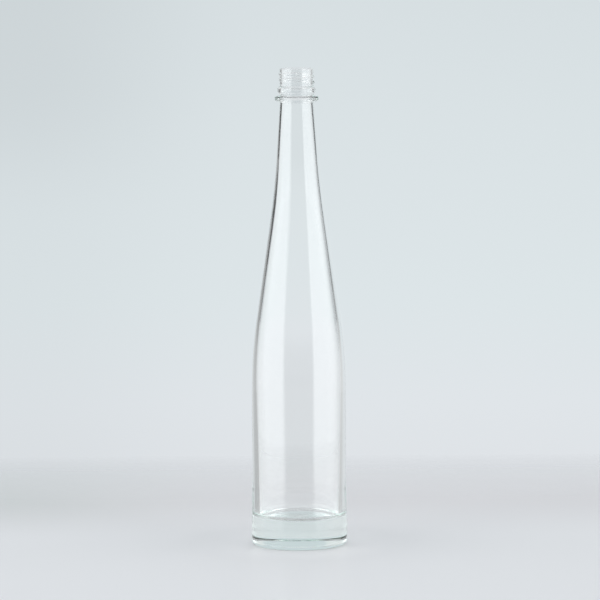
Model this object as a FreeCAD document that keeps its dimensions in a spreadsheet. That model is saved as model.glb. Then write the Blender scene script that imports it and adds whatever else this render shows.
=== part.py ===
"""Clear glass bottle with a threaded finish, as one parametric solid.

The bottle stands on Z = 0 and its axis is the Z axis. All sizes are in millimetres.
A sheet holds the driving sizes. A variable set works out the radii and heights that
follow from them. The body is an outer revolution, a helical thread ridge with rounded
ends, a grooved cavity and rounded lip edges.
"""
import FreeCAD, Part
import math
import os

import Sketcher
from FreeCAD import Placement, Rotation, Vector

# Driving sizes of the glass: alias and value in millimetres, or in turns for the thread.
SIZES = {
    # Whole bottle
    "bottle_height": 376.0,
    "body_diameter": 74.0,
    "neck_root_diameter": 35.6,
    "shoulder_length": 132.0,
    "neck_length": 68.4,
    "shoulder_round_radius": 370.0,
    "neck_round_radius": 650.0,
    # Foot
    "base_flare": 0.6,
    "base_flare_height": 21.0,
    "base_flare_length": 27.0,
    "base_flare_radius": 120.0,
    "heel_radius": 3.0,
    "bearing_width": 4.5,
    "pushup_depth": 1.6,
    "pushup_slope_length": 9.0,
    "pushup_round_radius": 8.0,
    # Walls, measured square to the axis, and floor
    "base_wall": 6.3,
    "body_wall": 3.0,
    "neck_root_wall": 1.75,
    "neck_top_wall": 1.9,
    "finish_wall": 1.6,
    "bore_swell": 0.8,
    "bore_round_radius": 6.0,
    "base_thickness": 22.4,
    "floor_rise": 0.8,
    "floor_slope_length": 16.0,
    "floor_round_radius": 60.0,
    "floor_corner_radius": 4.0,
    # Finish, from the mouth down
    "lip_radius": 0.7,
    "thread_diameter": 28.1,
    "thread_depth": 0.85,
    "thread_lip_gap": 2.3,
    "thread_pitch": 4.2,
    "thread_turns": 1.75,
    "thread_root_width": 2.6,
    "thread_crest_width": 1.2,
    "thread_edge_radius": 0.35,
    "bead_thread_gap": 1.2,
    "bead_projection": 1.85,
    "bead_root_width": 7.2,
    "bead_crest_width": 2.6,
    "bead_edge_radius": 2.2,
    "collar_bead_gap": 1.2,
    "collar_projection": 3.95,
    "collar_thickness": 3.4,
    "collar_slope": 0.5,
    "root_fillet_radius": 0.4,
    "neck_fillet_radius": 0.9,
    # How far the ridge reaches into the wall, and the share of a wall that rounding may take
    "thread_inset": 0.3,
    "round_share": 0.45,
    "cut_overshoot": 2.0,
}

# Radii and heights that follow from the driving sizes, each written once.
PLACES = {
    "body_radius": "Sizes.body_diameter / 2",
    "base_radius": "Places.body_radius + Sizes.base_flare",
    "base_flare_top": "Sizes.base_flare_height + Sizes.base_flare_length",
    "bearing_radius": "Places.base_radius - Sizes.heel_radius - Sizes.bearing_width",
    "panel_radius": "Places.bearing_radius - Sizes.pushup_slope_length",
    "neck_root_radius": "Sizes.neck_root_diameter / 2",
    "root_radius": "Sizes.thread_diameter / 2 - Sizes.thread_depth",
    "crest_radius": "Sizes.thread_diameter / 2",
    "bead_radius": "Places.root_radius + Sizes.bead_projection",
    "collar_radius": "Places.root_radius + Sizes.collar_projection",
    "bore_radius": "Places.root_radius - Sizes.finish_wall",
    "thread_rise": "Sizes.thread_pitch * Sizes.thread_turns",
    "thread_bottom": "Sizes.bottle_height - Sizes.thread_lip_gap - Places.thread_rise"
                     " - Sizes.thread_root_width / 2",
    "bead_top": "Places.thread_bottom - Sizes.thread_root_width / 2 - Sizes.bead_thread_gap",
    "bead_middle": "Places.bead_top - Sizes.bead_root_width / 2",
    "bead_bottom": "Places.bead_top - Sizes.bead_root_width",
    "collar_top": "Places.bead_bottom - Sizes.collar_bead_gap",
    "collar_edge_radius": "Sizes.round_share * Sizes.collar_thickness",
    "neck_top": "Places.collar_top - Sizes.collar_thickness",
    "neck_root": "Places.neck_top - Sizes.neck_length",
    "shoulder": "Places.neck_root - Sizes.shoulder_length",
    "floor_edge": "Sizes.base_thickness",
    "floor_middle": "Sizes.base_thickness + Sizes.floor_rise",
    "inner_base_radius": "Places.base_radius - Sizes.base_wall",
    "inner_body_radius": "Places.body_radius - Sizes.body_wall",
    "inner_neck_root_radius": "Places.neck_root_radius - Sizes.neck_root_wall",
    "inner_neck_top_radius": "Places.root_radius - Sizes.neck_top_wall",
    "inner_bead_radius": "Places.bore_radius + Sizes.bore_swell",
    "bore_start": "Places.bead_top + Sizes.bead_thread_gap",
    "cavity_top": "Sizes.bottle_height + Sizes.cut_overshoot",
    "ridge_inner_radius": "Places.root_radius - Sizes.thread_inset",
    "lip_radius": "min(Sizes.lip_radius; Sizes.round_share * Sizes.finish_wall)",
}

# How a sketch names the ends of its curves, its own axes and its origin.
POINT, START, END = 1, 1, 2
HORIZONTAL_AXIS, VERTICAL_AXIS = -1, -2
SKETCH_ORIGIN = (-1, 1)
TOLERANCE = 1e-6
LEAST_CHANGE = 1.0


def add_sizes(doc):
    """Put the driving sizes in a sheet, one alias to a row."""
    sheet = doc.addObject("Spreadsheet::Sheet", "Sizes")
    for row, (alias, value) in enumerate(SIZES.items(), start=1):
        sheet.set(f"A{row}", alias)
        sheet.set(f"B{row}", str(value))
        sheet.setAlias(f"B{row}", alias)
    doc.recompute()
    return sheet


def add_places(doc):
    """Work out the radii and heights that follow from the driving sizes."""
    places = doc.addObject("App::VarSet", "Places")
    for name, formula in PLACES.items():
        places.addProperty("App::PropertyFloat", name)
        places.setExpression(name, formula)
    doc.recompute()
    return places


def origin_plane(body, role):
    """Find one of the body's own origin planes by its role."""
    for feature in body.Origin.OriginFeatures:
        if feature.Role == role:
            return feature
    raise ValueError(f"no origin plane {role}")


def add_sketch(body, name):
    """Start a sketch on the body's XZ plane, with its Y axis along the bottle's axis."""
    sketch = body.newObject("Sketcher::SketchObject", name)
    sketch.AttachmentSupport = [(origin_plane(body, "XZ_Plane"), "")]
    sketch.MapMode = "FlatFace"
    return sketch


def fix_coordinate(sketch, kind, point, axis, label, formula, value):
    """Tie one coordinate of a corner point to its formula, or to the axis where it is 0."""
    if abs(value) < TOLERANCE:
        sketch.addConstraint(Sketcher.Constraint("PointOnObject", point, POINT, axis))
        return
    sketch.addConstraint(Sketcher.Constraint(kind, *SKETCH_ORIGIN, point, POINT, value))
    index = sketch.ConstraintCount - 1
    sketch.renameConstraint(index, label)
    sketch.setExpression(f"Constraints.{label}", formula)


def corner_arc(before, corner, after, radius):
    """Return the arc that rounds a corner, its two ends and whether it turns left."""
    inward = (corner - before).normalize()
    outward = (after - corner).normalize()
    turn = inward.getAngle(outward)
    reach = radius * math.tan(turn / 2)
    left = inward.cross(outward).z > 0
    side = Vector(-inward.y, inward.x, 0) * (1 if left else -1)
    start = corner - inward * reach
    end = corner + outward * reach
    centre = start + side * radius
    first, last = (start, end) if left else (end, start)
    angles = [math.atan2(p.y - centre.y, p.x - centre.x) for p in (first, last)]
    arc = Part.ArcOfCircle(Part.Circle(centre, Vector(0, 0, 1), radius), *angles)
    return arc, start, end, left


def draw_outline(sketch, corners):
    """Draw a closed run of lines through named corners, rounded where a radius is given.

    A corner is (name, x formula, y formula, radius formula or None).
    """
    count = len(corners)
    spots = [Vector(float(sketch.evalExpression(x)), float(sketch.evalExpression(y)), 0)
             for _, x, y, _ in corners]
    points, arcs = [], []
    line_starts, line_ends = list(spots), list(spots)
    for i, (name, x, y, radius) in enumerate(corners):
        point = sketch.addGeometry(Part.Point(spots[i]), True)
        points.append(point)
        fix_coordinate(sketch, "DistanceX", point, VERTICAL_AXIS, f"{name}_x", x, spots[i].x)
        fix_coordinate(sketch, "DistanceY", point, HORIZONTAL_AXIS, f"{name}_y", y, spots[i].y)
        if radius is None:
            arcs.append(None)
            continue
        value = float(sketch.evalExpression(radius))
        shape, start, end, left = corner_arc(spots[i - 1], spots[i], spots[(i + 1) % count], value)
        arc = sketch.addGeometry(shape, False)
        sketch.addConstraint(Sketcher.Constraint("Radius", arc, value))
        label = f"{name}_radius"
        sketch.renameConstraint(sketch.ConstraintCount - 1, label)
        sketch.setExpression(f"Constraints.{label}", radius)
        arcs.append((arc, left))
        line_ends[i], line_starts[i] = start, end
    lines = [sketch.addGeometry(Part.LineSegment(line_starts[i], line_ends[(i + 1) % count]), False)
             for i in range(count)]
    for i, (point, arc) in enumerate(zip(points, arcs)):
        join_corner(sketch, lines[i - 1], lines[i], point, arc)
    if sketch.solve() != 0:
        raise ValueError(f"{sketch.Name} does not solve")
    return points


def join_corner(sketch, line_in, line_out, point, arc):
    """Join two lines at a corner point, straight or through a tangent arc."""
    if arc is None:
        sketch.addConstraint(Sketcher.Constraint("Coincident", line_in, END, point, POINT))
        sketch.addConstraint(Sketcher.Constraint("Coincident", line_out, START, point, POINT))
        return
    index, left = arc
    arc_in, arc_out = (START, END) if left else (END, START)
    sketch.addConstraint(Sketcher.Constraint("Tangent", line_in, END, index, arc_in))
    sketch.addConstraint(Sketcher.Constraint("Tangent", line_out, START, index, arc_out))
    sketch.addConstraint(Sketcher.Constraint("PointOnObject", point, POINT, line_in))
    sketch.addConstraint(Sketcher.Constraint("PointOnObject", point, POINT, line_out))


def foot_corners():
    """Corners of the underside, heel and slightly wider foot, from the axis outward."""
    return [
        ("panel_middle", "0", "Sizes.pushup_depth", None),
        ("panel_edge", "Places.panel_radius", "Sizes.pushup_depth", "Sizes.pushup_round_radius"),
        ("bearing", "Places.bearing_radius", "0", "Sizes.pushup_round_radius"),
        ("heel", "Places.base_radius", "0", "Sizes.heel_radius"),
        ("flare_low", "Places.base_radius", "Sizes.base_flare_height", "Sizes.base_flare_radius"),
        ("flare_high", "Places.body_radius", "Places.base_flare_top", "Sizes.base_flare_radius"),
    ]


def shoulder_corners():
    """Corners where the body turns into the shoulder and the shoulder into the neck."""
    return [
        ("shoulder", "Places.body_radius", "Places.shoulder", "Sizes.shoulder_round_radius"),
        ("neck_root", "Places.neck_root_radius", "Places.neck_root", "Sizes.neck_round_radius"),
    ]


def finish_corners():
    """Corners of the collar, the locking bead and the straight root up to the mouth."""
    edge = "Places.collar_edge_radius"
    fillet = "Sizes.root_fillet_radius"
    collar_foot = "Places.neck_top - Sizes.collar_slope"
    collar_head = "Places.collar_top + Sizes.collar_slope"
    bead_low = "Places.bead_middle - Sizes.bead_crest_width / 2"
    bead_high = "Places.bead_middle + Sizes.bead_crest_width / 2"
    return [
        ("collar_root_low", "Places.root_radius", collar_foot, "Sizes.neck_fillet_radius"),
        ("collar_low", "Places.collar_radius", "Places.neck_top", edge),
        ("collar_high", "Places.collar_radius", "Places.collar_top", edge),
        ("collar_root_high", "Places.root_radius", collar_head, fillet),
        ("bead_root_low", "Places.root_radius", "Places.bead_bottom", fillet),
        ("bead_low", "Places.bead_radius", bead_low, "Sizes.bead_edge_radius"),
        ("bead_high", "Places.bead_radius", bead_high, "Sizes.bead_edge_radius"),
        ("bead_root_high", "Places.root_radius", "Places.bead_top", fillet),
        ("mouth", "Places.root_radius", "Sizes.bottle_height", None),
        ("mouth_middle", "0", "Sizes.bottle_height", None),
    ]


def cavity_corners():
    """Corners of the inside, from the middle of the floor up and out through the mouth."""
    floor_top = "Places.inner_base_radius - Sizes.floor_corner_radius - Sizes.floor_slope_length"
    bore_round = "Sizes.bore_round_radius"
    return [
        ("floor_middle", "0", "Places.floor_middle", None),
        ("floor_slope", floor_top, "Places.floor_middle", "Sizes.floor_round_radius"),
        ("floor_corner", "Places.inner_base_radius", "Places.floor_edge",
         "Sizes.floor_corner_radius"),
        ("shoulder", "Places.inner_body_radius", "Places.shoulder",
         "Sizes.shoulder_round_radius - Sizes.body_wall"),
        ("neck_root", "Places.inner_neck_root_radius", "Places.neck_root",
         "Sizes.neck_round_radius + Sizes.neck_root_wall"),
        ("neck_top", "Places.inner_neck_top_radius", "Places.neck_top", bore_round),
        ("bead_inside", "Places.inner_bead_radius", "Places.bead_middle", bore_round),
        ("bore", "Places.bore_radius", "Places.bore_start", bore_round),
        ("bore_end", "Places.bore_radius", "Places.cavity_top", None),
        ("bore_end_middle", "0", "Places.cavity_top", None),
    ]


def thread_corners():
    """Corners of the thread ridge's section at its lower end."""
    middle = "Places.thread_bottom"
    half_root, half_crest = "Sizes.thread_root_width / 2", "Sizes.thread_crest_width / 2"
    crest, inset = "Places.crest_radius", "Places.ridge_inner_radius"
    return [
        ("root_low", inset, f"{middle} - {half_root}", None),
        ("crest_low", crest, f"{middle} - {half_crest}", "Sizes.thread_edge_radius"),
        ("crest_high", crest, f"{middle} + {half_crest}", "Sizes.thread_edge_radius"),
        ("root_high", inset, f"{middle} + {half_root}", None),
    ]


def thread_end_corners():
    """Corners of the upper half of the ridge's section, which turns into a rounded end."""
    middle = "Places.thread_bottom"
    half_root, half_crest = "Sizes.thread_root_width / 2", "Sizes.thread_crest_width / 2"
    crest, inset = "Places.crest_radius", "Places.ridge_inner_radius"
    return [
        ("middle_in", inset, middle, None),
        ("middle_out", crest, middle, None),
        ("crest_high", crest, f"{middle} + {half_crest}", "Sizes.thread_edge_radius"),
        ("root_high", inset, f"{middle} + {half_root}", None),
    ]


def add_revolved(body, kind, sketch, name):
    """Turn a closed sketch all the way round the bottle's axis, as added or removed glass."""
    feature = body.newObject(f"PartDesign::{kind}", name)
    feature.Profile = sketch
    feature.ReferenceAxis = (sketch, ["V_Axis"])
    feature.Angle = 360
    body.Document.recompute()
    return feature


def add_outside(body):
    """Make the full outside of the bottle as one solid of revolution."""
    sketch = add_sketch(body, "OutsideSketch")
    draw_outline(sketch, foot_corners() + shoulder_corners() + finish_corners())
    return add_revolved(body, "Revolution", sketch, "Outside")


def add_thread(body):
    """Wind the ridge round the finish and round off both of its ends."""
    sketch = add_sketch(body, "ThreadSketch")
    draw_outline(sketch, thread_corners())
    ridge = body.newObject("PartDesign::AdditiveHelix", "Thread")
    ridge.Profile = sketch
    ridge.ReferenceAxis = (sketch, ["V_Axis"])
    ridge.Mode = "pitch-turns-angle"
    ridge.setExpression("Pitch", "Sizes.thread_pitch")
    ridge.setExpression("Turns", "Sizes.thread_turns")
    body.Document.recompute()
    add_thread_end(body, "ThreadStart", at_top=False)
    add_thread_end(body, "ThreadEnd", at_top=True)


def add_thread_end(body, name, at_top):
    """Turn half of the ridge's section about its own middle line into a rounded end."""
    sketch = add_sketch(body, f"{name}Sketch")
    if at_top:
        quarter = Rotation(Vector(0, 1, 0), 90)
        sketch.AttachmentOffset = Placement(Vector(0, 0, 0), quarter)
        sketch.setExpression("AttachmentOffset.Base.y", "Places.thread_rise")
        sketch.setExpression("AttachmentOffset.Rotation.Angle", "360 * Sizes.thread_turns")
    points = draw_outline(sketch, thread_end_corners())
    middle = sketch.addGeometry(Part.LineSegment(Vector(0, 0, 0), Vector(1, 0, 0)), True)
    for end, point in ((START, points[0]), (END, points[1])):
        sketch.addConstraint(Sketcher.Constraint("Coincident", middle, end, point, POINT))
    cap = body.newObject("PartDesign::Revolution", name)
    cap.Profile = sketch
    cap.ReferenceAxis = (sketch, ["Axis0"])
    cap.Angle = 180
    cap.Reversed = at_top
    body.Document.recompute()


def add_cavity(body):
    """Hollow the bottle out through its mouth."""
    sketch = add_sketch(body, "CavitySketch")
    draw_outline(sketch, cavity_corners())
    return add_revolved(body, "Groove", sketch, "Cavity")


def add_lip(body, height):
    """Round the outer and inner edges of the mouth, as far as the wall allows."""
    base = body.Tip
    rims = [f"Edge{i}" for i, edge in enumerate(base.Shape.Edges, start=1)
            if edge.isClosed() and abs(edge.BoundBox.ZMin - height) < TOLERANCE]
    lip = body.newObject("PartDesign::Fillet", "Lip")
    lip.Base = (base, rims)
    lip.setExpression("Radius", "Places.lip_radius")
    body.Document.recompute()
    return lip


def check_document(doc, bodies):
    """Stop on any feature that failed and on any sub-part without a sound solid."""
    for item in doc.Objects:
        if {"Invalid", "Error"} & set(item.State):
            raise ValueError(f"{item.Name} failed: {item.State}")
    for body in bodies:
        shape = body.Shape
        if shape.isNull() or not shape.isValid() or len(shape.Solids) != 1:
            raise ValueError(f"{body.Label} is not one valid solid")


def check_step(before, after, grows, name):
    """Stop if a feature left the glass as it was, or moved its volume the wrong way."""
    change = after - before
    if (change > 0) != grows or abs(change) < LEAST_CHANGE:
        raise ValueError(f"{name} changed the volume by {change:.1f} mm3")


def build_bottle(doc):
    """Build the bottle from its outside, thread, cavity and lip."""
    body = doc.addObject("PartDesign::Body", "Bottle")
    body.Label = "bottle"
    solid = add_outside(body).Shape.Volume
    add_thread(body)
    threaded = body.Shape.Volume
    check_step(solid, threaded, True, "Thread")
    add_cavity(body)
    hollow = body.Shape.Volume
    check_step(threaded, hollow, False, "Cavity")
    add_lip(body, SIZES["bottle_height"])
    check_step(hollow, body.Shape.Volume, False, "Lip")
    body.Placement = Placement(Vector(0, 0, 0), Rotation())
    return body


def main():
    doc = FreeCAD.newDocument("GlassBottle")
    add_sizes(doc)
    add_places(doc)
    bodies = [build_bottle(doc)]
    doc.recompute()
    check_document(doc, bodies)
    os.makedirs("parts", exist_ok=True)
    for body in bodies:
        body.Shape.exportStep(f"parts/{body.Label}.step")
        print(f"{body.Label}: {body.Shape.Volume / 1000:.1f} cm3 of glass")


main()
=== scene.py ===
"""A tall clear glass bottle with a solid base, a long tapering neck and a screw finish.

It stands on a pale table in a soft studio. The sizes repeat those of the construction, in metres.
"""

import math

import bpy
import numpy as np
from mathutils import Matrix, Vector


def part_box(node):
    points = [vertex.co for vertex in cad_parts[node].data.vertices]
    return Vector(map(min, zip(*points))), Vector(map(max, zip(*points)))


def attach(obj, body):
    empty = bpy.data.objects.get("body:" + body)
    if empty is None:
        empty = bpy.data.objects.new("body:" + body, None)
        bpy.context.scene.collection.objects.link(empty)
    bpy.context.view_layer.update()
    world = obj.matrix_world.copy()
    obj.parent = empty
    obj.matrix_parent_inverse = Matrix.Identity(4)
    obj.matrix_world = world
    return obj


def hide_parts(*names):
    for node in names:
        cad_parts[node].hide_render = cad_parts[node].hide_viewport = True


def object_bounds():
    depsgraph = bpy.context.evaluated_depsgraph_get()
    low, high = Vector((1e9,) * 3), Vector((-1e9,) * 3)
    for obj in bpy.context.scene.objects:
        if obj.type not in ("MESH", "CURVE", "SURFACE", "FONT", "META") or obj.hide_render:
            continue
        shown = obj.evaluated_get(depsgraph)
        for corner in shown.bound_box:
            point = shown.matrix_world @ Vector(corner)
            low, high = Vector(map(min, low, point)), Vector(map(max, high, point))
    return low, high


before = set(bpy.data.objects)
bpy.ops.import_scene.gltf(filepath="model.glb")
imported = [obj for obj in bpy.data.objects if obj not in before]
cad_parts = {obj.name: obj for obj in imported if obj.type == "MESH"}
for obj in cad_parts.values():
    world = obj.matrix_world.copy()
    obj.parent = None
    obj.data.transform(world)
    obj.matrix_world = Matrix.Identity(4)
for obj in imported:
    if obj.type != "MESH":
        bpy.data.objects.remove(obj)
CAD_BOX = [list(corner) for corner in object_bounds()]

# ---------------------------------------------------------------- sizes, metres
# the outside, from the shoulder down to the foot
BODY_RADIUS = 0.037
NECK_ROOT_RADIUS = 0.0178
SHOULDER_LENGTH = 0.132
NECK_LENGTH = 0.0684
SHOULDER_ROUND = 0.370
NECK_ROUND = 0.650
FLARE_HEIGHT = 0.021
FLARE_LENGTH = 0.027
FLARE_ROUND = 0.120
HEEL_ROUND = 0.003
BEARING_WIDTH = 0.0045
PUSHUP_DEPTH = 0.0016
PUSHUP_SLOPE = 0.009
PUSHUP_ROUND = 0.008

# the walls and the floor inside
BASE_WALL = 0.0063
BODY_WALL = 0.0030
NECK_ROOT_WALL = 0.00175
NECK_TOP_WALL = 0.0019
FINISH_WALL = 0.0016
BORE_SWELL = 0.0008
BASE_THICKNESS = 0.0224
FLOOR_RISE = 0.0008
FLOOR_SLOPE = 0.016
FLOOR_ROUND = 0.060
FLOOR_CORNER = 0.004

# the finish, from the mouth down
THREAD_RADIUS = 0.01405
THREAD_DEPTH = 0.00085
THREAD_GAP = 0.0023
THREAD_PITCH = 0.0042
THREAD_TURNS = 1.75
THREAD_ROOT_WIDTH = 0.0026
THREAD_CREST_WIDTH = 0.0012
THREAD_END_TURNS = 0.035  # half of the share of a turn over which an end dies away
LIP_ROUND = 0.0007
BEAD_GAP = 0.0012
BEAD_PROJECTION = 0.00185
BEAD_ROOT_WIDTH = 0.0072
BEAD_CREST_WIDTH = 0.0026
BEAD_ROUND = 0.0022
COLLAR_GAP = 0.0012
COLLAR_PROJECTION = 0.00395
COLLAR_THICKNESS = 0.0034
COLLAR_ROUND = 0.00153
COLLAR_SLOPE = 0.0005
ROOT_FILLET = 0.0004
NECK_FILLET = 0.0009
BORE_ROUND = 0.0060

# how far the bore wanders off the axis: all the way up, and more at the middle of the neck
DRIFT = 0.00013
DRIFT_SWELL = 0.00055
DRIFT_HEIGHT = 0.262
DRIFT_SPREAD = 0.042
DRIFT_FADE = 0.040

# how fine the mesh is
SEGMENTS = 208
ARC_STEP = math.radians(5.0)
LONGEST_STEP = 0.0040
THREAD_STEP = 0.00016
SAME_RADIUS = 0.0001
SAME_POINT = 1e-7
LEAST_RELIEF = 1e-9
TINY = 1e-15
# how far a normal leans from the axis where it counts as the outside, or as the bore
FACES_OUT, FACES_IN = 0.3, -0.2


# ---------------------------------------------------------------- the outline of the glass
def outline_corners(height, foot_radius):
    """Corners (radius, height, rounding) round the glass, and where its thread starts and how far it rises.

    They go under the base, up the outside, over the lip and down the inside.
    """
    root = THREAD_RADIUS - THREAD_DEPTH
    bore = root - FINISH_WALL
    bearing = foot_radius - HEEL_ROUND - BEARING_WIDTH
    thread_rise = THREAD_PITCH * THREAD_TURNS
    thread_bottom = height - THREAD_GAP - thread_rise - THREAD_ROOT_WIDTH / 2
    bead_top = thread_bottom - THREAD_ROOT_WIDTH / 2 - BEAD_GAP
    bead_middle = bead_top - BEAD_ROOT_WIDTH / 2
    bead_bottom = bead_top - BEAD_ROOT_WIDTH
    bead_radius = root + BEAD_PROJECTION
    collar_top = bead_bottom - COLLAR_GAP
    collar_radius = root + COLLAR_PROJECTION
    neck_top = collar_top - COLLAR_THICKNESS
    neck_root = neck_top - NECK_LENGTH
    shoulder = neck_root - SHOULDER_LENGTH
    inner_base = foot_radius - BASE_WALL
    floor_middle = BASE_THICKNESS + FLOOR_RISE
    return [
        (0, PUSHUP_DEPTH, 0),
        (bearing - PUSHUP_SLOPE, PUSHUP_DEPTH, PUSHUP_ROUND),
        (bearing, 0, PUSHUP_ROUND),
        (foot_radius, 0, HEEL_ROUND),
        (foot_radius, FLARE_HEIGHT, FLARE_ROUND),
        (BODY_RADIUS, FLARE_HEIGHT + FLARE_LENGTH, FLARE_ROUND),
        (BODY_RADIUS, shoulder, SHOULDER_ROUND),
        (NECK_ROOT_RADIUS, neck_root, NECK_ROUND),
        (root, neck_top - COLLAR_SLOPE, NECK_FILLET),
        (collar_radius, neck_top, COLLAR_ROUND),
        (collar_radius, collar_top, COLLAR_ROUND),
        (root, collar_top + COLLAR_SLOPE, ROOT_FILLET),
        (root, bead_bottom, ROOT_FILLET),
        (bead_radius, bead_middle - BEAD_CREST_WIDTH / 2, BEAD_ROUND),
        (bead_radius, bead_middle + BEAD_CREST_WIDTH / 2, BEAD_ROUND),
        (root, bead_top, ROOT_FILLET),
        (root, height, LIP_ROUND),
        (bore, height, LIP_ROUND),
        (bore, bead_top + BEAD_GAP, BORE_ROUND),
        (bore + BORE_SWELL, bead_middle, BORE_ROUND),
        (root - NECK_TOP_WALL, neck_top, BORE_ROUND),
        (NECK_ROOT_RADIUS - NECK_ROOT_WALL, neck_root, NECK_ROUND + NECK_ROOT_WALL),
        (BODY_RADIUS - BODY_WALL, shoulder, SHOULDER_ROUND - BODY_WALL),
        (inner_base, BASE_THICKNESS, FLOOR_CORNER),
        (inner_base - FLOOR_CORNER - FLOOR_SLOPE, floor_middle, FLOOR_ROUND),
        (0, floor_middle, 0),
    ], (thread_bottom, thread_rise)


def rounded_outline(corners, fine):
    """Points and outward normals along straight lines joined by arcs.

    fine(radius, start height, end height) is the longest step along a line there.
    """
    points = [np.array(corner[:2], float) for corner in corners]
    runs = []
    start = points[0]
    for i in range(1, len(points) - 1):
        before = points[i] - points[i - 1]
        after = points[i + 1] - points[i]
        before /= np.linalg.norm(before)
        after /= np.linalg.norm(after)
        turn = math.atan2(before[0] * after[1] - before[1] * after[0], float(before @ after))
        radius = corners[i][2]
        reach = radius * math.tan(abs(turn) / 2)
        arc_start, arc_end = points[i] - before * reach, points[i] + after * reach
        runs.append(("line", start, arc_start, before))
        side = math.copysign(1.0, turn)
        left = np.array([-before[1], before[0]]) * side
        runs.append(("arc", arc_start + left * radius, radius, math.atan2(-left[1], -left[0]), turn))
        start = arc_end
    last = points[-1] - start
    runs.append(("line", start, points[-1], last / np.linalg.norm(last)))
    out, normals = [], []
    for run in runs:
        if run[0] == "line":
            _, a, b, d = run
            length = np.linalg.norm(b - a)
            count = max(1, math.ceil(length / fine((a[0] + b[0]) / 2, a[1], b[1])))
            for k in range(count + 1):
                out.append(a + (b - a) * k / count)
                normals.append((d[1], -d[0]))
        else:
            _, centre, radius, angle, turn = run
            count = max(2, math.ceil(abs(turn) / ARC_STEP))
            count = max(count, math.ceil(abs(turn) * radius / LONGEST_STEP))
            for k in range(1, count):
                t = angle + turn * k / count
                ray = np.array([math.cos(t), math.sin(t)])
                out.append(centre + ray * radius)
                normals.append(ray if turn > 0 else -ray)
    apart = [np.linalg.norm(out[i] - out[i - 1]) > SAME_POINT for i in range(1, len(out))]
    keep = [0] + [i for i, far in enumerate(apart, 1) if far]
    return np.array(out)[keep], np.array(normals)[keep]


def smooth(t):
    """0 below 0 and 1 above 1, with an even S between."""
    t = np.clip(t, 0, 1)
    return t * t * (3 - 2 * t)


# ---------------------------------------------------------------- the mesh
def thread_height(angle, z, thread_bottom):
    """How far the screw thread stands out at each angle and height, climbing anticlockwise from +X."""
    height = np.zeros(np.broadcast(angle, z).shape)
    ramp = 0.5 * (THREAD_ROOT_WIDTH - THREAD_CREST_WIDTH)
    for turn in range(int(math.ceil(THREAD_TURNS)) + 1):
        wound = angle / (2 * math.pi) + turn
        middle = thread_bottom + THREAD_PITCH * wound
        away = np.abs(z - middle)
        ridge = smooth((THREAD_ROOT_WIDTH / 2 - away) / ramp)
        begun = smooth(wound / THREAD_END_TURNS + 0.5)
        end = begun * smooth((THREAD_TURNS - wound) / THREAD_END_TURNS + 0.5)
        height = np.maximum(height, THREAD_DEPTH * ridge * end)
    return height


def turned_grid(outline, normals, relief, drift):
    """Points of the turned surface by row and segment, and how far each stands out from the outline."""
    angles = np.arange(SEGMENTS) * 2 * math.pi / SEGMENTS
    r, z = outline[1:-1, 0][:, None], outline[1:-1, 1][:, None]
    outward = normals[1:-1, 0][:, None]
    raised = relief(angles[None, :], z, outward, r)
    radius = r + raised
    x, y = radius * np.cos(angles), radius * np.sin(angles)
    dx, dy = drift(z, outward)
    height = np.broadcast_to(z, radius.shape)
    return np.stack([x + dx, y + dy, height], -1), radius - r


def turned_faces(rows):
    """Quads between the rows of a turned surface, with a fan of triangles at each end."""
    i = np.arange(rows - 1)[:, None] * SEGMENTS + 1
    j = np.arange(SEGMENTS)[None, :]
    k = (j + 1) % SEGMENTS
    quads = np.stack([i + j, i + k, i + SEGMENTS + k, i + SEGMENTS + j], -1).reshape(-1, 4)
    last = (rows - 1) * SEGMENTS + 1
    top = rows * SEGMENTS + 1
    start = [(0, 1 + (n + 1) % SEGMENTS, 1 + n) for n in range(SEGMENTS)]
    end = [(top, last + n, last + (n + 1) % SEGMENTS) for n in range(SEGMENTS)]
    return start + quads.tolist() + end


def turned_normals(grid, raised, normals):
    """Exact normals, which keep the refraction clean where long runs meet small arcs."""
    angles = np.arange(SEGMENTS) * 2 * math.pi / SEGMENTS
    exact = np.zeros_like(grid)
    exact[..., 0] = normals[1:-1, 0][:, None] * np.cos(angles)
    exact[..., 1] = normals[1:-1, 0][:, None] * np.sin(angles)
    exact[..., 2] = normals[1:-1, 1][:, None]
    # on the thread they come from the mesh itself
    around = np.roll(grid, -1, 1) - np.roll(grid, 1, 1)
    bumpy = np.cross(around, np.gradient(grid, axis=0))
    bumpy /= np.maximum(np.linalg.norm(bumpy, axis=-1, keepdims=True), TINY)
    bumpy *= np.sign(np.sum(bumpy * exact, -1, keepdims=True))
    threaded = (np.abs(np.gradient(raised, axis=0)) + np.abs(raised)) > LEAST_RELIEF
    exact = np.where(threaded[..., None], bumpy, exact)
    return np.concatenate([[(0, 0, -1)], exact.reshape(-1, 3), [(0, 0, 1)]])


def lathe(name, outline, normals, relief, drift):
    """A closed body turned from an outline that starts and ends on the axis."""
    grid, raised = turned_grid(outline, normals, relief, drift)
    start, end = (0, 0, outline[0, 1]), (0, 0, outline[-1, 1])
    verts = np.concatenate([[start], grid.reshape(-1, 3), [end]])
    mesh = bpy.data.meshes.new(name)
    mesh.from_pydata(verts.tolist(), [], turned_faces(len(grid)))
    mesh.update()
    mesh.shade_smooth()
    mesh.normals_split_custom_set_from_vertices(turned_normals(grid, raised, normals).tolist())
    piece = bpy.data.objects.new(name, mesh)
    bpy.context.scene.collection.objects.link(piece)
    return piece


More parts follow.
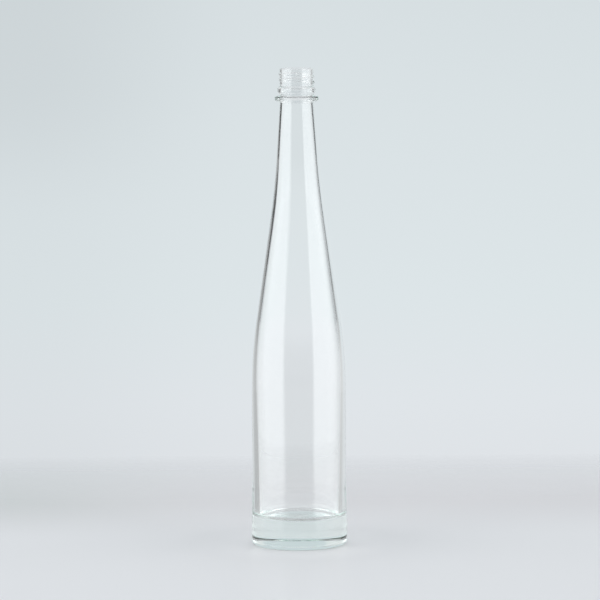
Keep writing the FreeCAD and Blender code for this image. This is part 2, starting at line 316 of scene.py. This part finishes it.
def make_bottle():
    """The bottle, at the height and foot of the built one, with its thread and its wandering bore."""
    low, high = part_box("bottle")
    height, foot_radius = high.z - low.z, (high.x - low.x) / 2
    corners, (thread_bottom, thread_rise) = outline_corners(height, foot_radius)
    reach = thread_bottom - THREAD_ROOT_WIDTH, thread_bottom + thread_rise + THREAD_ROOT_WIDTH
    root = THREAD_RADIUS - THREAD_DEPTH

    def fine(r, z0, z1):
        """Short steps on the wall under the thread, long ones elsewhere."""
        threaded = abs(r - root) < SAME_RADIUS and max(z0, z1) > reach[0]
        return THREAD_STEP if threaded else LONGEST_STEP

    outline, normals = rounded_outline(corners, fine)

    def relief(angle, z, outward, r):
        """The thread, which stands on the outside only."""
        outer = (outward > FACES_OUT) & (z > reach[0]) & (z < reach[1])
        return np.where(outer, thread_height(angle, z, thread_bottom), 0.0)

    def drift(z, outward):
        """The bore wanders a little off the axis, as it does in blown glass."""
        share = smooth((z - BASE_THICKNESS) / DRIFT_FADE)
        share = share * smooth((height - DRIFT_FADE / 2 - z) / DRIFT_FADE)
        aside = DRIFT + DRIFT_SWELL * np.exp(-(((z - DRIFT_HEIGHT) / DRIFT_SPREAD) ** 2))
        inner = outward < FACES_IN
        return np.where(inner, aside * share, 0.0), np.where(inner, DRIFT * share, 0.0)

    piece = lathe("glass_bottle", outline, normals, relief, drift)
    piece.data.materials.append(clear_glass())
    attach(piece, "root")
    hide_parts("bottle")
    return piece


# ---------------------------------------------------------------- node helpers
def new_node(tree, kind, **settings):
    node = tree.nodes.new(kind)
    for key, value in settings.items():
        setattr(node, key, value)
    return node


def feed(tree, socket, value):
    """Link a socket to another node's output, or set it to a plain value."""
    if hasattr(value, "is_linked"):
        tree.links.new(value, socket)
    else:
        socket.default_value = value


def maths(tree, operation, *values, clamp=False):
    """The result of a sum on sockets and plain numbers."""
    node = new_node(tree, "ShaderNodeMath", operation=operation, use_clamp=clamp)
    for socket, value in zip(node.inputs, values):
        feed(tree, socket, value)
    return node.outputs[0]


def step_between(tree, value, low, high, curve="SMOOTHSTEP"):
    """0 where value is at low, 1 at high, smooth between. low may be the larger."""
    node = new_node(tree, "ShaderNodeMapRange", interpolation_type=curve)
    tree.links.new(value, node.inputs["Value"])
    node.inputs["From Min"].default_value = low
    node.inputs["From Max"].default_value = high
    return node.outputs["Result"]


def between(tree, value, start, full, still, end):
    """1 between full and still, falling smoothly to 0 at start and end."""
    falling = maths(tree, "SUBTRACT", 1.0, step_between(tree, value, still, end))
    return maths(tree, "MULTIPLY", step_between(tree, value, start, full), falling)


def blend_colours(tree, share, first, second):
    """The first colour at share 0, the second at share 1. Each is a socket or a plain (r, g, b)."""
    node = new_node(tree, "ShaderNodeMix", data_type="RGBA")
    feed(tree, node.inputs["Factor"], share)
    for name, colour in (("A", first), ("B", second)):
        socket = next(s for s in node.inputs if s.name == name and s.type == "RGBA")
        feed(tree, socket, colour if hasattr(colour, "is_linked") else (*colour, 1.0))
    return next(s for s in node.outputs if s.type == "RGBA")


def shades(tree, value, stops):
    """A colour that follows value through its stops."""
    lowest, highest = stops[0][0], stops[-1][0]
    ramp = new_node(tree, "ShaderNodeValToRGB")
    share = step_between(tree, value, lowest, highest, "LINEAR")
    tree.links.new(share, ramp.inputs["Fac"])
    marks = ramp.color_ramp.elements
    while len(marks) > 1:
        marks.remove(marks[0])
    for n, (at, colour) in enumerate(stops):
        position = (at - lowest) / (highest - lowest)
        mark = marks[0] if n == 0 else marks.new(position)
        mark.position = position
        mark.color = (*colour, 1)
    return ramp.outputs["Color"]


def seen_level(value):
    """The scene-linear value of a screen value from 0 to 255."""
    v = value / 255
    return v / 12.92 if v <= 0.04045 else ((v + 0.055) / 1.055) ** 2.4


def seen_colour(r, g, b):
    """The scene-linear colour of a screen colour."""
    return tuple(seen_level(v) for v in (r, g, b))


def grey(level):
    """A very slightly cool light of this level."""
    return (level * 0.975, level, level * 1.01)


def grey_shades(tree, value, stops):
    """A grey light whose level follows value through its stops."""
    return shades(tree, value, [(at, grey(level)) for at, level in stops])


# ---------------------------------------------------------------- glass
GLASS_IOR = 1.52
GLASS_TINT = (0.35, 0.92, 0.72)
GLASS_DENSITY = 1.7
WAVE_SCALE = 42.0
WAVE_HEIGHT = 0.000014
CHILL_SCALE = 190.0
CHILL_HEIGHT = 0.000012
STIPPLE_SCALE = 900.0
STIPPLE_HEIGHT = 0.00012
GLASS_ROUGHNESS = 0.008
FINISH_ROUGHNESS = 0.10
FLOOR_ROUGHNESS = 0.06
# heights on the bottle between which each finish fades in, and out again
FINISH_FADE = (0.3470, 0.3500)
BASE_ZONE = (-0.010, -0.005, 0.026, 0.040)
INNER_FLOOR_ZONE = (0.0205, 0.0215, 0.0250, 0.0275)
STIPPLE_FADE = (0.0012, 0.0002)


def noise(tree, place, scale, detail):
    """Smooth noise from 0 to 1, in patches of about 1 / scale."""
    node = new_node(tree, "ShaderNodeTexNoise")
    tree.links.new(place, node.inputs["Vector"])
    node.inputs["Scale"].default_value = scale
    node.inputs["Detail"].default_value = detail
    return next(s for s in node.outputs if s.name in ("Fac", "Factor"))


def glass_skin(tree, place, z, heavy):
    """The bump of the surface.

    Slow waves run all over it. Finer chill marks lie where the heavy glass met the mould last, and
    stipple lies on the ring that it stands on.
    """
    waves = maths(tree, "MULTIPLY", noise(tree, place, WAVE_SCALE, 1.0), WAVE_HEIGHT)
    chill = maths(tree, "MULTIPLY", noise(tree, place, CHILL_SCALE, 2.0), CHILL_HEIGHT)
    chill = maths(tree, "MULTIPLY", chill, heavy)
    stipple = maths(tree, "MULTIPLY", noise(tree, place, STIPPLE_SCALE, 0.0), STIPPLE_HEIGHT)
    stipple = maths(tree, "MULTIPLY", stipple, step_between(tree, z, *STIPPLE_FADE))
    height = maths(tree, "ADD", maths(tree, "ADD", waves, chill), stipple)
    bump = new_node(tree, "ShaderNodeBump")
    bump.inputs["Distance"].default_value = 1.0
    tree.links.new(height, bump.inputs["Height"])
    return bump.outputs["Normal"]


def clear_glass():
    """Flint glass with a faint green in its depth, and a skin that is not perfectly even."""
    material = bpy.data.materials.new("clear_glass")
    material.use_nodes = True
    tree = material.node_tree
    tree.nodes.clear()
    out = new_node(tree, "ShaderNodeOutputMaterial")
    glass = new_node(tree, "ShaderNodeBsdfPrincipled")
    glass.inputs["Base Color"].default_value = (1, 1, 1, 1)
    glass.inputs["Transmission Weight"].default_value = 1.0
    glass.inputs["IOR"].default_value = GLASS_IOR
    coordinates = new_node(tree, "ShaderNodeTexCoord").outputs["Object"]
    place = new_node(tree, "ShaderNodeSeparateXYZ")
    tree.links.new(coordinates, place.inputs[0])
    z = place.outputs[2]
    finish = step_between(tree, z, *FINISH_FADE)
    base = between(tree, z, *BASE_ZONE)
    inner_floor = between(tree, z, *INNER_FLOOR_ZONE)
    rough = maths(tree, "MULTIPLY_ADD", finish, FINISH_ROUGHNESS, GLASS_ROUGHNESS)
    rough = maths(tree, "MULTIPLY_ADD", inner_floor, FLOOR_ROUGHNESS, rough)
    tree.links.new(rough, glass.inputs["Roughness"])
    heavy = maths(tree, "MAXIMUM", finish, base)
    tree.links.new(glass_skin(tree, coordinates, z, heavy), glass.inputs["Normal"])
    tree.links.new(glass.outputs["BSDF"], out.inputs["Surface"])
    depth = new_node(tree, "ShaderNodeVolumeAbsorption")
    depth.inputs["Color"].default_value = (*GLASS_TINT, 1)
    depth.inputs["Density"].default_value = GLASS_DENSITY
    tree.links.new(depth.outputs["Volume"], out.inputs["Volume"])
    return material


# ---------------------------------------------------------------- the table
TABLE_HALF = 0.5
TABLE_NEAR = seen_colour(219, 218, 220)
# painted shade: the table's colour darker towards its back edge and its left corner
TABLE_BACK_SHADE = seen_colour(209, 206, 208)
TABLE_CORNER_SHADE = seen_colour(187, 193, 190)
TABLE_CORNER_SHARE = 0.5
TABLE_ROUGHNESS = 0.38
TABLE_SPECULAR = 0.35
# distances along Y, or X, over which its painted shade deepens and it melts away
BACK_SHADE_FADE = (0.02, 0.24)
CORNER_SHADE_FADE = (-0.04, -0.28)
MELT_BACK = (0.225, 0.48)
MELT_FRONT = (-0.27, -0.36)
MELT_SIDES = (0.27, 0.38)
# distances from the bottle's axis
# painted glow: emission on the table under the foot and in a ring round it
PAINTED_GLOW_UNDER, GLOW_UNDER_FADE = 0.26, (0.038, 0.033)
PAINTED_GLOW_ROUND, GLOW_ROUND_FADE = 0.10, (0.090, 0.036)
REFLECTED_FADE = (0.09, 0.15)


def table_colour_with_painted_shade(tree, x, y):
    """Paler near the bottle, with painted shade that darkens it towards the back and its left corner."""
    # painted shade towards the back, and more at the left corner
    back = step_between(tree, y, *BACK_SHADE_FADE)
    colour = blend_colours(tree, back, TABLE_NEAR, TABLE_BACK_SHADE)
    corner = maths(tree, "MULTIPLY", back, step_between(tree, x, *CORNER_SHADE_FADE))
    return blend_colours(tree, maths(tree, "MULTIPLY", corner, TABLE_CORNER_SHARE), colour, TABLE_CORNER_SHADE)


def painted_table_glow(tree, from_foot):
    """A painted glow on the table under the thick base and close round it, in place of the light the glass
    gathers there; it also lightens the bottle's shadow at the foot.
    """
    glow = maths(tree, "MULTIPLY", step_between(tree, from_foot, *GLOW_UNDER_FADE), PAINTED_GLOW_UNDER)
    return maths(tree, "MULTIPLY_ADD", step_between(tree, from_foot, *GLOW_ROUND_FADE), PAINTED_GLOW_ROUND, glow)


def table_gone(tree, x, y, from_foot):
    """1 where the table has melted into the backdrop."""
    back = step_between(tree, y, *MELT_BACK, "LINEAR")
    front = step_between(tree, y, *MELT_FRONT)
    sides = step_between(tree, maths(tree, "ABSOLUTE", x), *MELT_SIDES)
    gone = maths(tree, "MAXIMUM", maths(tree, "MAXIMUM", back, front), sides)
    # seen by way of a reflection, the table ends close round the bottle
    path = new_node(tree, "ShaderNodeLightPath")
    reflected = maths(tree, "MINIMUM", path.outputs["Glossy Depth"], 1.0)
    far = maths(tree, "MULTIPLY", reflected, step_between(tree, from_foot, *REFLECTED_FADE))
    return maths(tree, "MAXIMUM", gone, far)


def pale_table():
    """A slightly glossy pale surface, with painted shade towards its back and left corner and a painted
    glow round the foot.
    """
    material = bpy.data.materials.new("pale_table")
    material.use_nodes = True
    tree = material.node_tree
    tree.nodes.clear()
    place = new_node(tree, "ShaderNodeSeparateXYZ")
    tree.links.new(new_node(tree, "ShaderNodeTexCoord").outputs["Object"], place.inputs[0])
    x, y = place.outputs[0], place.outputs[1]
    squares = maths(tree, "ADD", maths(tree, "POWER", x, 2.0), maths(tree, "POWER", y, 2.0))
    from_foot = maths(tree, "SQRT", squares)
    surface = new_node(tree, "ShaderNodeBsdfPrincipled")
    surface.inputs["Roughness"].default_value = TABLE_ROUGHNESS
    surface.inputs["Specular IOR Level"].default_value = TABLE_SPECULAR
    colour = table_colour_with_painted_shade(tree, x, y)
    tree.links.new(colour, surface.inputs["Base Color"])
    tree.links.new(colour, surface.inputs["Emission Color"])
    # the painted glow round the foot, as emission on the table
    tree.links.new(painted_table_glow(tree, from_foot), surface.inputs["Emission Strength"])
    clear = new_node(tree, "ShaderNodeBsdfTransparent")
    mix = new_node(tree, "ShaderNodeMixShader")
    tree.links.new(table_gone(tree, x, y, from_foot), mix.inputs[0])
    tree.links.new(surface.outputs["BSDF"], mix.inputs[1])
    tree.links.new(clear.outputs["BSDF"], mix.inputs[2])
    out = new_node(tree, "ShaderNodeOutputMaterial")
    tree.links.new(mix.outputs["Shader"], out.inputs["Surface"])
    return material


def make_floor():
    """A table top that melts into the backdrop at its edges."""
    mesh = bpy.data.meshes.new("table")
    h = TABLE_HALF
    mesh.from_pydata([(-h, -h, 0), (h, -h, 0), (h, h, 0), (-h, h, 0)], [], [(0, 1, 2, 3)])
    table = bpy.data.objects.new("table", mesh)
    bpy.context.scene.collection.objects.link(table)
    table.data.materials.append(pale_table())


# ---------------------------------------------------------------- the studio
# Directions are in degrees: turn is 0 straight behind the bottle, rise is 0 at the level of the eye.
# colours of the backdrop by rise
BACKDROP = tuple(
    (rise, seen_colour(*colour))
    for rise, colour in (
        (-12.0, (216, 220, 223)),
        (-8.5, (223, 227, 231)),
        (-7.7, (224, 229, 233)),
        (-6.4, (221, 229, 232)),
        (-4.1, (218, 226, 229)),
        (-2.6, (215, 223, 226)),
        (8.0, (205, 213, 217)),
    )
)
# levels of the dark gaps beside the backdrop, of the softboxes and of the front, by rise
LEFT_GAP = (
    (-12.0, 0.42),
    (-9.5, 0.54),
    (-5.0, 0.46),
    (-2.9, 0.44),
    (-2.1, 0.22),
    (-1.5, 0.0),
    (0.0, 0.0),
)
RIGHT_GAP = ((-12.0, 0.56), (-9.5, 0.70), (-6.5, 0.68), (-3.3, 0.60), (-2.0, 0.12), (0.0, 0.16))
BOX = ((1.5, 1.55), (7.0, 2.1))
FRONT = ((-9.5, 0.62), (-7.0, 0.36), (1.0, 0.36), (6.0, 0.75))
SIDE_LEVEL = 0.78
LOW_SIDE_LEVEL = 1.05
# turns, or turns to either side, at which each begins, is full, begins to fade and has gone
LEFT_GAP_TURN = (-54.0, -46.0, -24.0, -16.0)
RIGHT_GAP_TURN = (25.0, 36.0, 54.0, 62.0)
BACKDROP_TURN = (-28.0, -22.0, 36.0, 44.0)
BOX_TURN = (48.0, 85.0, 137.0, 145.0)
LOW_SIDE_TURN = (60.0, 105.0, 137.0, 145.0)
FRONT_TURN = (137.0, 145.0)
# rises between which the gaps show, and past which the room is plain
GAP_RISE = (-16.0, -14.0, 3.0, 8.0)
PLAIN_BELOW = (-16.0, -19.0)
PLAIN_ABOVE = (28.0, 45.0)
LOW_SIDE_RISE = (-40.0, -28.0)
# the shade on the left of the backdrop
SHADE = seen_colour(196, 203, 206)
SHADE_TURN = (-10.0, -4.6, -3.6, -0.4)
SHADE_RISE = (-5.5, -3.6)
SHADE_LEAST, SHADE_MORE = 0.2, 0.3


def shaded_backdrop(tree, turn, rise, backdrop):
    """The backdrop with the soft shade on its left, which is stronger higher up."""
    higher = step_between(tree, rise, *SHADE_RISE)
    strength = maths(tree, "MULTIPLY_ADD", higher, SHADE_MORE, SHADE_LEAST)
    shade = maths(tree, "MULTIPLY", between(tree, turn, *SHADE_TURN), strength)
    return blend_colours(tree, shade, backdrop, SHADE)


def lit_room(tree, turn, rise, backdrop):
    """The backdrop behind, a dark gap at each side of it, softboxes at the sides and a dim front."""
    away = maths(tree, "ABSOLUTE", turn)
    box = grey_shades(tree, rise, BOX)
    room = blend_colours(tree, between(tree, away, *BOX_TURN), grey(SIDE_LEVEL), box)
    front = grey_shades(tree, rise, FRONT)
    room = blend_colours(tree, step_between(tree, away, *FRONT_TURN), room, front)
    room = blend_colours(tree, between(tree, turn, *BACKDROP_TURN), room, backdrop)
    gap_band = between(tree, rise, *GAP_RISE)
    for levels, gap_turn in ((LEFT_GAP, LEFT_GAP_TURN), (RIGHT_GAP, RIGHT_GAP_TURN)):
        share = maths(tree, "MULTIPLY", between(tree, turn, *gap_turn), gap_band)
        room = blend_colours(tree, share, room, grey_shades(tree, rise, levels))
    # above and below the lit band the room is plain and pale, with a glow low at the sides
    above, below = step_between(tree, rise, *PLAIN_ABOVE), step_between(tree, rise, *PLAIN_BELOW)
    low_side = between(tree, away, *LOW_SIDE_TURN)
    glow = maths(tree, "MULTIPLY", low_side, step_between(tree, rise, *LOW_SIDE_RISE))
    plain = blend_colours(tree, glow, backdrop, grey(LOW_SIDE_LEVEL))
    return blend_colours(tree, maths(tree, "MAXIMUM", below, above), room, plain)


def make_world():
    """What each ray of light meets, by its direction and by how it came there."""
    world = bpy.data.worlds.new("studio")
    bpy.context.scene.world = world
    world.use_nodes = True
    tree = world.node_tree
    tree.nodes.clear()
    ray = new_node(tree, "ShaderNodeSeparateXYZ")
    tree.links.new(new_node(tree, "ShaderNodeTexCoord").outputs["Generated"], ray.inputs[0])
    dx, dy, dz = ray.outputs
    turn = maths(tree, "MULTIPLY", maths(tree, "ARCTAN2", dx, dy), math.degrees(1))
    rise = maths(tree, "MULTIPLY", maths(tree, "ARCSINE", dz), math.degrees(1))
    backdrop = shades(tree, rise, BACKDROP)
    room = lit_room(tree, turn, rise, backdrop)
    shaded = shaded_backdrop(tree, turn, rise, backdrop)
    # straight through the glass the backdrop shows all round, and the room only after a reflection
    path = new_node(tree, "ShaderNodeLightPath")
    depths = path.outputs["Glossy Depth"], path.outputs["Diffuse Depth"]
    seen = blend_colours(tree, maths(tree, "ADD", *depths, clamp=True), backdrop, room)
    seen = blend_colours(tree, path.outputs["Is Camera Ray"], seen, shaded)
    glow = new_node(tree, "ShaderNodeBackground")
    tree.links.new(seen, glow.inputs["Color"])
    out = new_node(tree, "ShaderNodeOutputWorld")
    tree.links.new(glow.outputs["Background"], out.inputs["Surface"])


LAMP_WATTS = 6.0
LAMP_WIDTH = 1.6
LAMP_HEIGHT = 1.6


def make_lamp():
    """A wide soft lamp overhead, which lays the faint shade at the foot and isn't seen in the glass."""
    data = bpy.data.lights.new("overhead", "AREA")
    data.shape = "RECTANGLE"
    data.size = data.size_y = LAMP_WIDTH
    data.energy = LAMP_WATTS
    lamp = bpy.data.objects.new("overhead", data)
    lamp.location = (0, 0, LAMP_HEIGHT)
    lamp.visible_transmission = lamp.visible_glossy = False
    bpy.context.scene.collection.objects.link(lamp)


# ---------------------------------------------------------------- the camera
SENSOR_WIDTH = 36.0
LENS = 271.36
CLIP = (0.1, 50.0)
# how far off and how high it stands, in bottle heights, how far aside, and how it is turned
CAMERA_DISTANCE = 9.4
CAMERA_RISE = 1.57
CAMERA_ASIDE = 0.0016
CAMERA_PITCH = math.radians(6.403)
CAMERA_ROLL = math.radians(-0.38)


def make_camera(height):
    """A long lens some way off, looking slightly down."""
    data = bpy.data.cameras.new("camera")
    data.sensor_width = SENSOR_WIDTH
    data.lens = LENS
    data.clip_start, data.clip_end = CLIP
    camera = bpy.data.objects.new("camera", data)
    place = Matrix.Translation((CAMERA_ASIDE, -CAMERA_DISTANCE * height, CAMERA_RISE * height))
    tilt = Matrix.Rotation(math.pi / 2 - CAMERA_PITCH, 4, "X")
    camera.matrix_world = place @ tilt @ Matrix.Rotation(CAMERA_ROLL, 4, "Z")
    bpy.context.scene.collection.objects.link(camera)
    bpy.context.scene.camera = camera


# ---------------------------------------------------------------- the scene
BOUNCES = 32  # light crosses many faces inside the thick walls

make_bottle()
make_floor()
make_world()
make_lamp()
make_camera(CAD_BOX[1][2] - CAD_BOX[0][2])
bpy.context.scene.view_settings.view_transform = "Standard"
paths = bpy.context.scene.cycles
paths.max_bounces = paths.transmission_bounces = paths.glossy_bounces = BOUNCES
